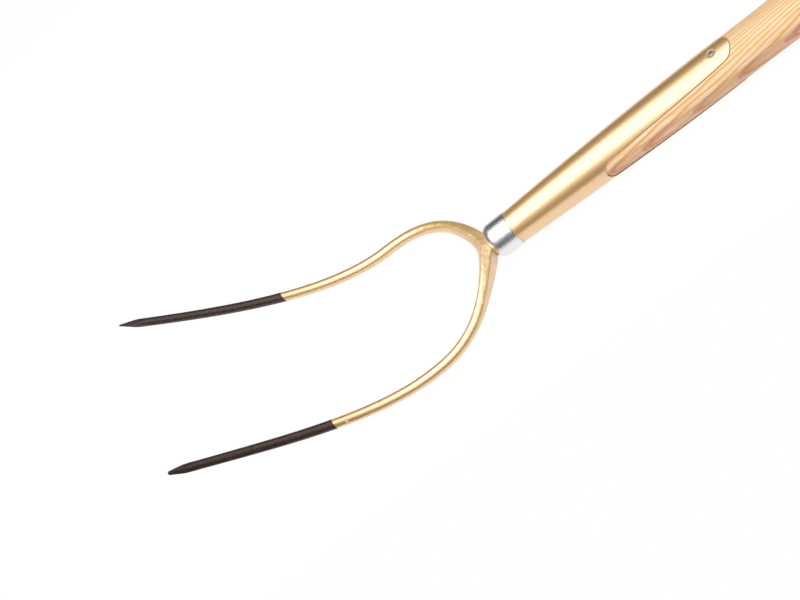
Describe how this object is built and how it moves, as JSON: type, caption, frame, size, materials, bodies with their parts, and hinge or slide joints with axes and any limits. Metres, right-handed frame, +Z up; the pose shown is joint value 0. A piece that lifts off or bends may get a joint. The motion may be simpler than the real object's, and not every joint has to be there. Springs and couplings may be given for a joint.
{
  "type": "two-tine pitchfork",
  "caption": "Long-handled hay fork: one forged head with slim curved tines, an end cap, a riveted strap ferrule and a straight ash handle.",
  "frame": {"origin": "on the floor, under the middle of the tool's box", "axes": "+X along the handle from the head to the butt, +Z up, on the side that the tines curve to, +Y to the far tine"},
  "size_m": [1.6407, 0.1609, 0.1193],
  "materials": {
    "gold_lacquer": "forged steel under gold lacquer, its points dipped brown-black",
    "chrome_cap": "drawn steel cap, bright plated, faintly brushed",
    "ferrule_lacquer": "rolled steel sheet under glossy gold lacquer",
    "rivet_steel": "blue-grey steel, satin",
    "ash_wood": "turned ash, thin clear coat"
  },
  "bodies": {
    "root": {"fork_head": "gold_lacquer", "end_cap": "chrome_cap", "strap_ferrule": "ferrule_lacquer", "strap_rivet": "rivet_steel", "handle": "ash_wood"}
  },
  "joints": []
}
